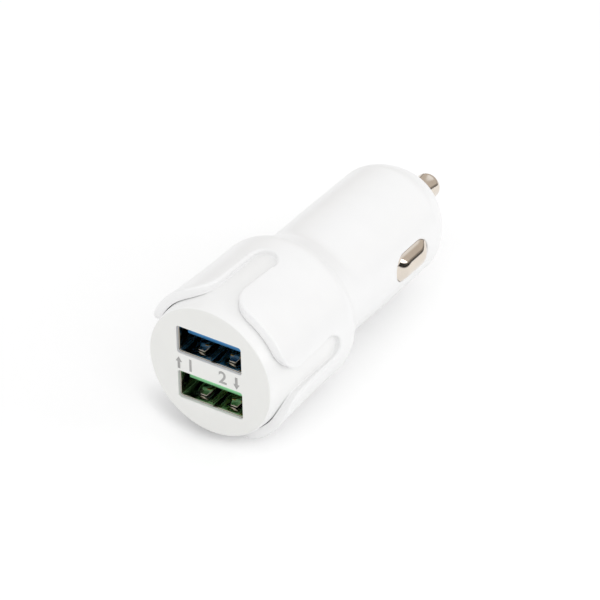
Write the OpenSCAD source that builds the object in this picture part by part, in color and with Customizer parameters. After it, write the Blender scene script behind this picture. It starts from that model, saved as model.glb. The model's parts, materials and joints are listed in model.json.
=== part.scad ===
// Twin-port USB charger plug for a 12 V vehicle socket.
// Lengths along the plug are counted from its port face rearwards, x is to the right of the
// face and z is up. at_barrel() then moves the whole plug forward, so that the origin lies on
// the axis where the straight barrel begins: the vehicle's socket holds the plug there.

/* [Head] */
// Width of the plain rim round the ports, from their corners to the insert's edge
face_rim = 2.2; // [1.8:0.05:2.6]
// How much wider the insert gets behind its front edge
core_draft = 0.4; // [0.2:0.05:0.6]
// Wall thickness of the head's four petals where they join the shoulder
petal_t = 1; // [0.9:0.05:1.4]
// How far the petals' front edge stands out beyond the shoulder
lip_flare = 0.6; // [0.3:0.05:0.9]
// Distance from the port face back to the petals' front edge
lip_y = 2.6; // [1.8:0.1:3.4]
// Distance from the round rear end of the slots to the start of the shoulder
shoulder_gap = 2.9; // [2.7:0.1:5]
// Length of the shoulder, down to the barrel
shoulder_l = 8.4; // [7.8:0.1:10]
// Width of the four slots between the petals
slot_w = 4.7; // [3.5:0.1:5.5]
// Distance from the port face to the round rear end of a slot
slot_end_y = 18.4; // [16:0.1:20]
// Width of a petal's rounded front corner
petal_corner_w = 4.2; // [2:0.1:4.6]
// Length of a petal's rounded front corner
petal_corner_l = 5; // [3:0.1:6]

/* [Barrel] */
// Radius of the barrel that goes into the vehicle's socket
barrel_r = 10.4; // [10.35:0.01:10.45]
// How much narrower the barrel's moulding draft makes its rear end
barrel_draft = 0.1; // [0.05:0.01:0.2]
// Wall thickness of the barrel
barrel_wall = 1.4; // [1.2:0.05:1.6]
// Length of the straight barrel, from the shoulder to the nose
barrel_l = 23.3; // [22:0.1:24.5]
// Length of the domed nose behind the straight barrel
nose_l = 9.2; // [8.5:0.1:11]
// Wall thickness of the nose round the centre contact
nose_wall = 2.4; // [2:0.1:3]

/* [Ports] */
// Inner width of a port
port_w = 12.5; // [12.4:0.05:12.7]
// Inner height of a port
port_h = 5.12; // [5:0.02:5.2]
// Length of a port's steel shell
port_l = 13.5; // [12.5:0.1:14]
// Thickness of the steel sheet of a port's shell
sheet_t = 0.3; // [0.25:0.01:0.35]
// Distance between the centres of the two ports
port_pitch = 8.8; // [8.6:0.1:9.4]
// Thickness of the face wall in front of the ports
face_wall = 1; // [0.8:0.05:1.2]
// Width of a port's tongue
tongue_w = 11.1; // [10.6:0.1:11.4]
// Thickness of a port's tongue
tongue_t = 1.8; // [1.7:0.02:1.9]
// Space between the tongue and the shell's top wall
tongue_gap = 0.66; // [0.6:0.02:0.8]
// Distance from the shell's front edge to the tongue's front edge
tongue_setback = 0.9; // [0.7:0.1:1.4]

/* [Contacts] */
// Radius of the centre contact where it leaves the nose
tip_r = 2.3; // [2:0.05:2.8]
// Length of the centre contact in front of the nose
tip_l = 4.8; // [2.5:0.1:5.2]
// How far the centre contact can be pushed in
tip_travel = 2; // [1:0.1:2.4]
// Length of the centre contact's spring
spring_l = 6.8; // [6:0.1:8]
// Place of the side contacts' middle along the straight barrel, as a share of its length
side_share = 0.652; // [0.62:0.002:0.68]
// Length of a side contact's window in the barrel
side_l = 9.6; // [9:0.1:10.5]
// Width of a side contact's window in the barrel
side_w = 5.4; // [4.8:0.1:5.6]
// How far a side contact stands proud of the barrel
side_proud = 1; // [0.6:0.05:1.2]
// How far a side contact can be pushed in
side_travel = 1.2; // [0.8:0.05:1.3]

/* [Boards] */
// Thickness of both circuit boards
board_t = 1.2; // [1:0.1:1.6]
// Radius of the storage inductor on the main board
inductor_r = 4; // [3.5:0.1:4.5]
// Height of the storage inductor
inductor_h = 5.4; // [4:0.1:5.8]
// Radius of the two capacitor cans
can_r = 3.15; // [2.5:0.05:3.5]
// Length of the input capacitor's can
input_can_l = 11; // [9:0.5:11.5]
// Length of the output capacitor's can
output_can_l = 7; // [6:0.5:8]

/* [Fits] */
// Gap between pieces that seat against each other
seat_gap = 0.05; // [0.03:0.01:0.08]
// Gap round pieces that slide into each other
slide_gap = 0.1; // [0.08:0.01:0.15]

/* [Hidden] */
$fn = 96;

// Ports
port_z = port_pitch / 2;
corner_r = norm([port_w / 2 + sheet_t, port_z + port_h / 2 + sheet_t]);

// Head and face insert
core_r = corner_r + face_rim;
insert_r = core_r + core_draft;
insert_wall = 1.5;
insert_reach = 2.4;
insert_end_y = slot_end_y + insert_reach;
insert_taper_l = 6;
bore_r = insert_r + seat_gap;
head_r = bore_r + petal_t;
lip_r = head_r + lip_flare;
step_y = insert_end_y + slide_gap;
step_w = 1;
step_r = bore_r - step_w;
lip_round = 0.35;
edge_round = 0.4;

// Shoulder, barrel and nose
shoulder_y = slot_end_y + shoulder_gap;
barrel_y = shoulder_y + shoulder_l;
shoulder_drop = head_r - barrel_r;
flare_gap = 0.6;
flare_l = shoulder_y - flare_gap - lip_y;
step_land = 1;
cone_y = shoulder_y + step_land;
cone_gap = 2.4;
cone_end_y = barrel_y - cone_gap;
barrel_in_r = barrel_r - barrel_wall;
nose_r = barrel_r - barrel_draft;
nose_y = barrel_y + barrel_l;
nose_end_y = nose_y + nose_l;
nose_in_y = nose_end_y - nose_wall;
side_y = barrel_y + side_share * barrel_l;
draft_gap = 0.6;
draft_y = side_y - side_l / 2 - draft_gap;
tip_hole_r = tip_r + 2 * slide_gap;
nose_land = 0.3;
rail_t = 0.9;
rail_depth = 1.2;
rail_overlap = 0.2;

// Ports, from the face wall rearwards
port_round = 0.5;
window_gap = 0.2;
port_y = face_wall + seat_gap;
port_end_y = port_y + port_l;
insulator_l = 3.6;
pin_w = 1;
pin_t = 0.2;
pin_x = [-3.5, -1, 1, 3.5];
finger_x = 3;
finger_w = [1.2, 2.2];
finger_y = [1.2, 3.2, 8.2];
finger_root = 0.6;
finger_rise_bottom = 0.5;
finger_rise_top = 0.3;
leg_w = 1.6;

// Boards
socket_y = port_end_y + seat_gap;
socket_end_y = socket_y + board_t;
port_room_r = corner_r + slide_gap;
board_room_r = insert_r - insert_wall;
board_play = 0.15;
socket_r = board_room_r - board_play;
main_y = socket_end_y + seat_gap;
tab_w = 1.9;
tab_x = socket_r - tab_w;
head_margin = 0.9;
head_board_w = socket_r - head_margin;
barrel_margin = 0.6;
barrel_board_w = barrel_in_r - barrel_margin;
pin_reach = 0.8;
pin_end_y = socket_end_y + pin_reach;

// Centre contact, from the nose forwards
flange_rim = 1.2;
flange_r = tip_r + flange_rim;
flange_t = 1;
flange_y = nose_in_y - slide_gap - flange_t;
stem_r = 1.2;
stem_l = tip_travel + 1;
tip_end_y = nose_end_y + tip_l;
wire_r = 0.25;
coil_play = 0.6;
spring_r = stem_r + wire_r + coil_play;
spring_turns = 5;
spring_y = flange_y - seat_gap - spring_l;
terminal_t = 0.5;
terminal_rim = 0.9;
prong_t = 0.4;
prong_w = 3;
prong_l = 3;
terminal_y = spring_y - seat_gap - terminal_t;
main_end_y = terminal_y - seat_gap;

// Side contacts: sheet metal pressed to a pillow, with a rim inside the barrel
side_sheet = 0.4;
side_fit_l = side_l - 2 * slide_gap;
side_fit_w = side_w - 2 * slide_gap;
side_rim = [1.1, 1.2];
flange_w = side_w + side_rim[0];
flange_l = side_l + side_rim[1];
flange_x = sqrt(pow(barrel_in_r, 2) - pow(flange_w / 2, 2)) - slide_gap;
crest_x = barrel_r + side_proud;
edge_sink = 0.15;
edge_x = sqrt(pow(barrel_r, 2) - pow(side_w / 2, 2)) - edge_sink;
pillow_drop = crest_x - edge_x;
pillow_r = (pow(side_fit_w / 2, 2) + pow(pillow_drop, 2)) / (2 * pillow_drop);
crest_end = 2.2;
leaf_t = 0.25;
leaf_w = 3;
leaf_l = side_l - 1;
leaf_play = 0.15;
neck_board_w = flange_x - side_sheet - side_travel - 2 * leaf_t - leaf_play;
neck_gap = 1.5;
neck_y = side_y - flange_l / 2 - neck_gap;

// Components on the main board, one behind the other
top_z = board_t / 2 + seat_gap;
inductor_flange = 0.8;
inductor_post = 0.45;
inductor_gap = 1.7;
inductor_y = main_y + inductor_gap + inductor_r;
chip_size = [3.9, 4.9, 1.5];
chip_leg = [0.9, 0.4, 0.5];
chip_pitch = 1.27;
chip_lift = 0.15;
chip_gap = 1.5;
chip_y = inductor_y + inductor_r + chip_gap + chip_size[1] / 2;
port_chip_size = [2.9, 1.6, 1.1];
port_chip_pitch = 0.95;
port_chip_gap = 0.6;
diode_size = [2.6, 4.3, 2];
diode_tab = [1.5, 0.7, 0.9];
diode_lift = 0.1;
diode_gap = 1.2;
diode_y = chip_y + chip_size[1] / 2 + diode_gap + diode_size[1] / 2;
fuse_size = [1.6, 3.2, 0.6];
fuse_gap = 3;
fuse_y = diode_y + diode_size[1] / 2 + fuse_gap + fuse_size[1] / 2;
resistor_size = [1.6, 0.8, 0.45];
resistor_pitch = 1.6;
capacitor_size = [1.2, 2, 0.9];
capacitor_pitch = 2.4;
row_margin = 1.2;
row_gap = 0.4;
capacitor_x = barrel_board_w - row_margin - capacitor_size[0] / 2;
resistor_x = capacitor_x - capacitor_size[0] / 2 - row_gap - resistor_size[0] / 2;
seal_gap = 2.2;
output_can_y = main_y + seal_gap;
can_gap = 2.6;
input_can_y = output_can_y + output_can_l + can_gap;
can_z = -top_z - can_r;
lead_r = 0.25;
lead_l = 1;

// Points on a circular arc
function arc(centre, r, a0, a1, n = 10) = [
    for (i = [0:n]) let (a = a0 + (a1 - a0) * i / n) centre + r * [cos(a), sin(a)]
];

// Points on a curve that leaves p0 towards p1 and reaches p2 from p1
function bend(p0, p1, p2, n = 10) = [
    for (i = [0:n]) let (t = i / n)
        pow(1 - t, 2) * p0 + 2 * t * (1 - t) * p1 + pow(t, 2) * p2
];

// The same with two guide points
function sweep_curve(p0, p1, p2, p3, n = 16) = [
    for (i = [0:n]) let (t = i / n)
        pow(1 - t, 3) * p0 + 3 * t * pow(1 - t, 2) * p1
        + 3 * t * t * (1 - t) * p2 + pow(t, 3) * p3
];

// Outside of the head, shoulder, barrel and nose, as radius and distance from the face
function outer_profile() = concat(
    arc([lip_r - lip_round, lip_y + lip_round], lip_round, -90, 0, 6),
    [for (i = [1:12]) let (t = i / 12)
        [head_r + lip_flare * pow(1 - t, 2), lip_y + lip_round + (flare_l - lip_round) * t]],
    bend([head_r, shoulder_y],
         [head_r - 0.02 * shoulder_drop, shoulder_y + 0.2 * shoulder_l],
         [head_r - 0.38 * shoulder_drop, shoulder_y + 0.34 * shoulder_l], 10),
    bend([barrel_r + 0.2 * shoulder_drop, barrel_y - 0.3 * shoulder_l],
         [barrel_r + 0.02 * shoulder_drop, barrel_y - 0.17 * shoulder_l],
         [barrel_r, barrel_y], 6),
    [[barrel_r, draft_y]],
    sweep_curve([nose_r, nose_y],
                [nose_r - 0.05, nose_y + 0.2 * nose_l],
                [0.76 * nose_r, nose_y + 0.68 * nose_l],
                [tip_hole_r + nose_land, nose_end_y])
);

// Inside of the same shell, from the nose back to the head's bore
function inner_profile() = concat(
    [[tip_hole_r, nose_end_y], [tip_hole_r, nose_in_y]],
    bend([0.4 * barrel_r, nose_in_y],
         [barrel_in_r - 1, nose_y + 0.39 * nose_l],
         [barrel_in_r, nose_y - 0.7], 10),
    [[barrel_in_r, cone_end_y],
     [step_r, cone_y],
     [step_r, step_y],
     [bore_r, step_y],
     [bore_r, lip_y]]
);

// Half of a slot's outline at its rounded petal corner, from the straight edge to the front
function corner_curve(n = 12) = [
    for (i = [0:n]) let (a = 90 * i / n)
        [slot_w / 2 + petal_corner_w * (1 - cos(a)), lip_y + petal_corner_l * (1 - sin(a))]
];

// Moves the plug so that the origin lies where the straight barrel begins
module at_barrel() {
    translate([0, -barrel_y, 0]) children();
}

// Turns a profile of radius and distance from the face round the plug's axis
module turned(points) {
    rotate([-90, 0, 0]) rotate_extrude() polygon(points);
}

// A cylinder along the plug's axis from y0 to y1
module rod(r, y0, y1) {
    translate([0, y0, 0]) rotate([-90, 0, 0]) cylinder(r = r, h = y1 - y0);
}

// A box given by its middle in x and z, and by its start and end along the axis
module bar(x, z, w, h, y0, y1) {
    translate([x - w / 2, y0, z - h / 2]) cube([w, y1 - y0, h]);
}

// A rectangle with round corners, centred
module round_rect(w, h, r) {
    square([w - 2 * r, h], center = true);
    square([w, h - 2 * r], center = true);
    for (x = [-1, 1], y = [-1, 1])
        translate([x * (w / 2 - r), y * (h / 2 - r)]) circle(r = r, $fn = 32);
}

// A plate in the port's plane, from y0 to y1
module port_plate(w, h, r, y0, y1) {
    translate([0, y1, 0]) rotate([90, 0, 0]) linear_extrude(y1 - y0) round_rect(w, h, r);
}

// A long shape with round ends, l along the second axis
module stadium(l, w) {
    square([w, l - w], center = true);
    for (y = [-1, 1]) translate([0, y * (l - w) / 2]) circle(d = w, $fn = 64);
}

// A long shape with round ends that faces sideways, from x0 to x1
module side_block(l, w, x0, x1) {
    translate([x0, side_y, 0]) rotate([0, 90, 0]) linear_extrude(x1 - x0) stadium(l, w);
}

// The cut between two petals, round at the rear and opening into the petals' corners
module petal_slot() {
    half = corner_curve();
    reach = lip_r + 2;
    linear_extrude(reach) {
        translate([0, slot_end_y - slot_w / 2]) circle(d = slot_w, $fn = 64);
        polygon(concat(
            [[-slot_w / 2, slot_end_y - slot_w / 2], [slot_w / 2, slot_end_y - slot_w / 2]],
            half,
            [[slot_w / 2 + petal_corner_w, lip_y - 1], [-slot_w / 2 - petal_corner_w, lip_y - 1]],
            [for (i = [len(half) - 1:-1:0]) [-half[i][0], half[i][1]]]
        ));
    }
}

// Two rails inside the barrel that guide one edge of the main board
module board_rails() {
    for (side = [-1, 1], z = [-1, 1])
        bar(side * (barrel_in_r - rail_depth / 2 + rail_overlap),
            z * (board_t / 2 + slide_gap + rail_t / 2),
            rail_depth + 2 * rail_overlap, rail_t, cone_end_y - rail_overlap,
            neck_y - neck_gap);
}

module body_shell() {
    color("white") at_barrel() {
        difference() {
            turned(concat(outer_profile(), inner_profile()));
            for (a = [0:90:270])
                rotate([0, a, 0]) petal_slot();
            for (side = [0, 1])
                mirror([side, 0, 0])
                    side_block(side_l, side_w, neck_board_w, crest_x + 1);
        }
        board_rails();
    }
}

module face_insert() {
    room_step_y = socket_y - seat_gap;
    color("white") at_barrel() difference() {
        turned(concat(
            [[0, 0]],
            arc([core_r - edge_round, edge_round], edge_round, -90, 0, 5),
            [[core_r + 0.5 * core_draft, insert_taper_l / 3],
             [insert_r, insert_taper_l],
             [insert_r, insert_end_y],
             [board_room_r, insert_end_y],
             [board_room_r, room_step_y],
             [port_room_r, room_step_y],
             [port_room_r, face_wall],
             [0, face_wall]]
        ));
        for (z = [port_z, -port_z])
            translate([0, 0, z])
                port_plate(port_w + 2 * window_gap, port_h + 2 * window_gap, port_round,
                           -1, face_wall + 1);
    }
}

// One spring finger cut from a port's wall: rises to its crest, then turns back at its narrow tip
module port_finger(wall_z, rise) {
    up = rise > 0 ? 1 : -1;
    inner = wall_z + up * sheet_t;
    root_y = finger_y[2] + finger_root;
    translate([0, port_y, 0]) intersection() {
        translate([-finger_w[1] / 2, 0, 0]) rotate([90, 0, 90])
            linear_extrude(finger_w[1]) polygon([
                [finger_y[0], wall_z + 0.1 * up],
                [finger_y[1], wall_z + rise],
                [finger_y[2], wall_z],
                [root_y, wall_z],
                [root_y, inner],
                [finger_y[2] + 0.2, inner],
                [finger_y[1], inner + rise],
                [finger_y[0], inner + 0.1 * up]
            ]);
        translate([0, 0, wall_z - port_h / 2]) linear_extrude(port_h) polygon([
            [-finger_w[0] / 2, finger_y[0]], [finger_w[0] / 2, finger_y[0]],
            [finger_w[1] / 2, finger_y[1]], [finger_w[1] / 2, root_y],
            [-finger_w[1] / 2, root_y], [-finger_w[1] / 2, finger_y[1]]
        ]);
    }
}

module usb_shell(z) {
    outer_w = port_w + 2 * sheet_t;
    outer_h = port_h + 2 * sheet_t;
    translate([0, 0, z]) {
        difference() {
            port_plate(outer_w, outer_h, port_round + 0.1, port_y, port_end_y);
            port_plate(port_w, port_h, port_round - 0.1, port_y - 1, port_end_y + 1);
            for (x = [-finger_x, finger_x], wall = [-1, 1])
                bar(x, wall * (port_h + sheet_t) / 2, finger_w[1] + 0.6, 3 * sheet_t,
                    port_y + finger_y[0] - 0.3, port_y + finger_y[2]);
        }
        for (x = [-finger_x, finger_x]) translate([x, 0, 0]) {
            port_finger(-port_h / 2 - sheet_t, finger_rise_bottom);
            port_finger(port_h / 2 + sheet_t, -finger_rise_top);
        }
        for (x = [-1, 1])
            bar(x * (port_w + sheet_t) / 2, 0, sheet_t, leg_w, port_end_y - 0.5, pin_end_y);
    }
}

module usb_shell_upper() {
    color("silver") at_barrel() usb_shell(port_z);
}

module usb_shell_lower() {
    color("silver") at_barrel() usb_shell(-port_z);
}

// Underside of the tongue, measured from the port's centre
tongue_z = port_h / 2 - tongue_gap - tongue_t;

module port_pins(extra) {
    for (x = pin_x)
        bar(x, tongue_z - seat_gap / 2 - pin_t / 2, pin_w + extra, pin_t + extra,
            port_y + tongue_setback + 1 - extra, pin_end_y + extra);
}

module usb_tongue(z) {
    translate([0, 0, z]) difference() {
        union() {
            bar(0, 0, port_w - 2 * seat_gap, port_h - 2 * seat_gap - 0.1,
                port_end_y - insulator_l, port_end_y - seat_gap);
            bar(0, tongue_z + tongue_t / 2, tongue_w, tongue_t,
                port_y + tongue_setback, port_end_y - 1);
        }
        port_pins(seat_gap);
    }
}

module usb_tongue_upper() {
    color("steelblue") at_barrel() usb_tongue(port_z);
}

module usb_tongue_lower() {
    color("lightgreen") at_barrel() usb_tongue(-port_z);
}

module usb_pins_upper() {
    color("gold") at_barrel() translate([0, 0, port_z]) port_pins(0);
}

module usb_pins_lower() {
    color("gold") at_barrel() translate([0, 0, -port_z]) port_pins(0);
}

// Upright board behind the ports, with holes for their pins, their legs and the main board
module socket_board() {
    color("seagreen") at_barrel() difference() {
        rod(socket_r, socket_y, socket_end_y);
        for (z = [port_z, -port_z]) translate([0, 0, z]) {
            port_pins(2 * slide_gap);
            for (x = [-1, 1])
                bar(x * (port_w + sheet_t) / 2, 0, sheet_t + 2 * slide_gap,
                    leg_w + 2 * slide_gap, socket_y - 1, socket_end_y + 1);
        }
        for (x = [-1, 1])
            bar(x * tab_x, 0, tab_w + 2 * slide_gap, board_t + 2 * slide_gap,
                socket_y - 1, socket_end_y + 1);
    }
}

// Long board on the axis, wide in the head and narrow between the side contacts
module main_board() {
    half = [
        [tab_x - tab_w / 2, main_y],
        [tab_x - tab_w / 2, socket_y],
        [tab_x + tab_w / 2, socket_y],
        [tab_x + tab_w / 2, main_y],
        [head_board_w, main_y],
        [head_board_w, cone_y - 0.5],
        [barrel_board_w, (cone_y + cone_end_y) / 2],
        [barrel_board_w, neck_y],
        [neck_board_w, neck_y + 1],
        [neck_board_w, main_end_y]
    ];
    color("seagreen") at_barrel() translate([0, 0, -board_t / 2]) linear_extrude(board_t)
        polygon(concat(half, [for (i = [len(half) - 1:-1:0]) [-half[i][0], half[i][1]]]));
}

// Drum of the storage inductor: two flanges and a post
module inductor_core() {
    post = inductor_post * inductor_r;
    color("dimgray") at_barrel() translate([0, inductor_y, top_z]) rotate_extrude() polygon([
        [0, 0], [inductor_r, 0], [inductor_r, inductor_flange], [post, inductor_flange],
        [post, inductor_h - inductor_flange], [inductor_r, inductor_h - inductor_flange],
        [inductor_r, inductor_h], [0, inductor_h]
    ]);
}

module inductor_winding() {
    start = inductor_flange + seat_gap;
    color("peru") at_barrel() translate([0, inductor_y, top_z]) rotate_extrude()
        translate([inductor_post * inductor_r + seat_gap, start])
            square([inductor_post * inductor_r, inductor_h - 2 * start]);
}

// A capacitor can on its side, with its crimped seal and its two bent leads
module lying_can(y0, l) {
    groove = 0.35;
    translate([0, 0, can_z]) turned([
        [0, y0], [can_r - 0.3, y0], [can_r, y0 + 0.3], [can_r, y0 + 1.2],
        [can_r - groove, y0 + 1.5], [can_r, y0 + 1.8],
        [can_r, y0 + l - 0.2], [can_r - 0.2, y0 + l], [0, y0 + l]
    ]);
    for (x = [-0.4, 0.4] * can_r) {
        translate([x, 0, can_z]) rod(lead_r, y0 - lead_l, y0 + 0.1);
        translate([x, y0 - lead_l, can_z - lead_r]) cylinder(r = lead_r, h = can_r + lead_r);
    }
}

module input_capacitor() {
    color("darkslategray") at_barrel() lying_can(input_can_y, input_can_l);
}

module output_capacitor() {
    color("darkslategray") at_barrel() lying_can(output_can_y, output_can_l);
}

// A chip with a row of legs on both long sides
module legged_chip(size, legs, pitch) {
    translate([-size[0] / 2, -size[1] / 2, chip_lift])
        cube([size[0], size[1], size[2] - chip_lift]);
    for (side = [-1, 1], i = [0:legs - 1])
        translate([side * (size[0] + chip_leg[0] - 0.2) / 2 - chip_leg[0] / 2,
                   (i - (legs - 1) / 2) * pitch - chip_leg[1] / 2, 0])
            cube(chip_leg);
}

module converter_chip() {
    color("dimgray") at_barrel() translate([0, chip_y, top_z])
        legged_chip(chip_size, 4, chip_pitch);
}

module port_chip() {
    rise = board_t / 2 + port_chip_gap + port_chip_size[1] / 2;
    color("dimgray") at_barrel() translate([0, socket_end_y + seat_gap, rise])
        rotate([-90, 0, 0]) legged_chip(port_chip_size, 2, port_chip_pitch);
}

module diode() {
    color("dimgray") at_barrel() translate([0, diode_y, top_z]) {
        translate([-diode_size[0] / 2, -diode_size[1] / 2, diode_lift]) cube(diode_size);
        for (side = [-1, 1])
            translate([-diode_tab[0] / 2,
                       side * (diode_size[1] / 2 + 0.15) - diode_tab[1] / 2, 0])
                cube(diode_tab);
    }
}

module chip_fuse() {
    color("ivory") at_barrel()
        translate([-fuse_size[0] / 2, fuse_y - fuse_size[1] / 2, top_z]) cube(fuse_size);
}

// Small parts in two rows, one on each side of the converter chip
module small_parts(x, count, pitch, size) {
    for (side = [-1, 1], i = [0:count - 1])
        translate([side * x - size[0] / 2,
                   chip_y + (i - (count - 1) / 2) * pitch - size[1] / 2, top_z])
            cube(size);
}

module chip_resistors() {
    color("black") at_barrel() small_parts(resistor_x, 3, resistor_pitch, resistor_size);
}

module chip_capacitors() {
    color("tan") at_barrel() small_parts(capacitor_x, 2, capacitor_pitch, capacitor_size);
}

// Spring-loaded centre contact: round tip, retaining flange and spring stem
module centre_contact() {
    round_r = 0.55 * tip_r;
    color("silver") at_barrel() turned(concat(
        [[0, flange_y - stem_l], [stem_r - 0.2, flange_y - stem_l],
         [stem_r, flange_y - stem_l + 0.2], [stem_r, flange_y],
         [flange_r, flange_y], [flange_r, flange_y + flange_t], [tip_r, flange_y + flange_t]],
        arc([tip_r - round_r, tip_end_y - round_r], round_r, 0, 90, 8),
        [[0, tip_end_y]]
    ));
}

// One ring of the coil spring's wire, at turn t
function wire_ring(t, y, sides = 8) = [
    for (i = [0:sides - 1]) let (a = 360 * t, b = 360 * i / sides,
                                 r = spring_r + wire_r * cos(b))
        [r * cos(a), y + wire_r * sin(b), r * sin(a)]
];

module centre_spring() {
    sides = 8;
    steps = 14 * spring_turns;
    rise = spring_l - 2 * wire_r;
    points = [for (i = [0:steps])
        each wire_ring(i * spring_turns / steps, spring_y + wire_r + rise * i / steps, sides)];
    last = steps * sides;
    color("silver") at_barrel() polyhedron(points, concat(
        [[for (j = [0:sides - 1]) j]],
        [[for (j = [sides - 1:-1:0]) last + j]],
        [for (i = [0:steps - 1], j = [0:sides - 1]) let (k = (j + 1) % sides)
            [i * sides + j, (i + 1) * sides + j, (i + 1) * sides + k, i * sides + k]]
    ));
}

// Plate that carries the spring, with two prongs that hold the main board's end
module spring_terminal() {
    color("silver") at_barrel() {
        rod(spring_r + terminal_rim, terminal_y, terminal_y + terminal_t);
        for (z = [-1, 1])
            bar(0, z * (board_t / 2 + seat_gap + prong_t / 2), prong_w, prong_t,
                terminal_y - prong_l, terminal_y + terminal_t / 2);
    }
}

// Pressed pillow with a round crest that falls away at both ends, smaller by inset
module pillow(inset) {
    half_l = side_fit_l / 2 - inset;
    crest = crest_x - inset;
    edge = edge_x - inset;
    side = concat(
        bend([half_l, edge], [half_l - 0.25 * crest_end, crest], [half_l - crest_end, crest], 8),
        bend([crest_end - half_l, crest], [0.25 * crest_end - half_l, crest], [-half_l, edge], 8),
        [[-half_l, flange_x - 1], [half_l, flange_x - 1]]
    );
    intersection() {
        side_block(2 * half_l, side_fit_w - 2 * inset, flange_x - 0.5 * side_sheet, crest_x + 1);
        translate([0, side_y, -side_w]) linear_extrude(2 * side_w)
            polygon([for (p = side) [p[1], p[0]]]);
        union() {
            translate([crest_x - pillow_r, 0, 0]) rod(pillow_r - inset, side_y - side_l, side_y + side_l);
            translate([flange_x - 1, side_y - side_l, -side_w])
                cube([edge - flange_x + 1, 2 * side_l, 2 * side_w]);
        }
    }
}

// Side contact: the pillow stands in the barrel's window, the rim behind keeps it in
module side_contact() {
    difference() {
        union() {
            translate([flange_x - side_sheet, side_y - flange_l / 2, -flange_w / 2])
                cube([side_sheet, flange_l, flange_w]);
            pillow(0);
        }
        translate([-side_sheet, 0, 0]) pillow(side_sheet);
        side_block(side_fit_l - 2 * side_sheet, side_fit_w - 2 * side_sheet,
                   flange_x - 2 * side_sheet, flange_x);
    }
}

module side_contact_right() {
    color("silver") at_barrel() side_contact();
}

module side_contact_left() {
    color("silver") at_barrel() mirror([1, 0, 0]) side_contact();
}

// Bowed strip between the main board's edge and the side contact
module side_leaf() {
    foot_x = neck_board_w + seat_gap;
    bow = flange_x - side_sheet - seat_gap - foot_x - leaf_t;
    bow_r = (pow(leaf_l / 2, 2) + pow(bow, 2)) / (2 * bow);
    bow_a = asin(leaf_l / 2 / bow_r);
    centre = [foot_x + bow - bow_r, side_y];
    translate([0, 0, -leaf_w / 2]) linear_extrude(leaf_w) polygon(concat(
        arc(centre, bow_r + leaf_t, -bow_a, bow_a, 16),
        arc(centre, bow_r, bow_a, -bow_a, 16)
    ));
}

module side_leaf_right() {
    color("silver") at_barrel() side_leaf();
}

module side_leaf_left() {
    color("silver") at_barrel() mirror([1, 0, 0]) side_leaf();
}

body_shell();
face_insert();
usb_shell_upper();
usb_shell_lower();
usb_tongue_upper();
usb_tongue_lower();
usb_pins_upper();
usb_pins_lower();
socket_board();
main_board();
inductor_core();
inductor_winding();
input_capacitor();
output_capacitor();
converter_chip();
port_chip();
diode();
chip_fuse();
chip_resistors();
chip_capacitors();
centre_contact();
centre_spring();
spring_terminal();
side_contact_left();
side_contact_right();
side_leaf_left();
side_leaf_right();
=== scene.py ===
"""Car charger plug: fine surfaces, finishes, marks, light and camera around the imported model."""
import json
import math

import bmesh
import bpy
import numpy as np
from mathutils import Matrix, Vector


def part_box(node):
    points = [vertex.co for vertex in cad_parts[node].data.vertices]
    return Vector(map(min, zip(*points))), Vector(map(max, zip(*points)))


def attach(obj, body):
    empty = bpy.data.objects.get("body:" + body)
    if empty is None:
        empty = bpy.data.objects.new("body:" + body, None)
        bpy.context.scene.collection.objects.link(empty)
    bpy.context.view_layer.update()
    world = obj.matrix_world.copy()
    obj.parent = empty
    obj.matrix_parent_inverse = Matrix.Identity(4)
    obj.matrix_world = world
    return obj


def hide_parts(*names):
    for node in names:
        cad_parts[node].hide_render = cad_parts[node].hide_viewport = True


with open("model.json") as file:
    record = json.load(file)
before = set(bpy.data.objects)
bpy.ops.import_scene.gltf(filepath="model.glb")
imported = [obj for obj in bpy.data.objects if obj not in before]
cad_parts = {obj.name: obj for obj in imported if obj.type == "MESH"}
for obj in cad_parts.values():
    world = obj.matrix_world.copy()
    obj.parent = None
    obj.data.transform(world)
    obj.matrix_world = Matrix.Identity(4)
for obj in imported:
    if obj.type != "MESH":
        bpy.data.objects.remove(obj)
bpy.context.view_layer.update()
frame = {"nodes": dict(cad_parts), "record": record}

# Lengths are in millimetres, with y counted from the port face rearwards, until a mesh is put in
MM = 0.001
FACE_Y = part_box("face_insert")[0][1] / MM


def size_of(node, corner, axis):
    """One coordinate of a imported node's box in millimetres, y counted from the port face."""
    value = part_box(node)[corner][axis] / MM
    return value - FACE_Y if axis == 1 else value


# Head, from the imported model's boxes and the source's sizes
INSERT_R = size_of("face_insert", 1, 0)
INSERT_END_Y = size_of("face_insert", 1, 1)
CORE_R = INSERT_R - 0.4
FACE_ROUND = 0.4
LIP_Y = size_of("body_shell", 0, 1)
HEAD_R = INSERT_R + 1.05
LIP_R = HEAD_R + 0.6
LIP_ROUND = 0.35
PETAL_BORE_R = INSERT_R - 0.03
FRONT_GAP = 0.03
INSERT_TAPER_L = 6.0
FOOT_ROUND = 0.3
SLOT_W = 4.7
SLOT_END_Y = 18.4
CORNER_W = 4.2
CORNER_L = 5.0

# Shoulder, barrel and nose
SHOULDER_Y = SLOT_END_Y + 2.9
SHOULDER_L = 8.4
FLARE_END_Y = SHOULDER_Y - 0.6
BARREL_Y = -FACE_Y
BARREL_R = 10.4
NOSE_R = 10.3
NOSE_END_Y = size_of("body_shell", 1, 1)
NOSE_L = 9.2
NOSE_Y = NOSE_END_Y - NOSE_L
NOSE_IN_Y = NOSE_END_Y - 2.4
BARREL_IN_R = BARREL_R - 1.4
STEP_R = INSERT_R - 0.95
TIP_HOLE_R = 2.5
HOLE_ROUND = 0.12

# Rails that hold the long board
RAIL_X = 8.6
RAIL_Z = 1.15
RAIL_W = 1.6
RAIL_H = 0.9
RAIL_Y = 27.1
RAIL_L = 9.4

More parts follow.
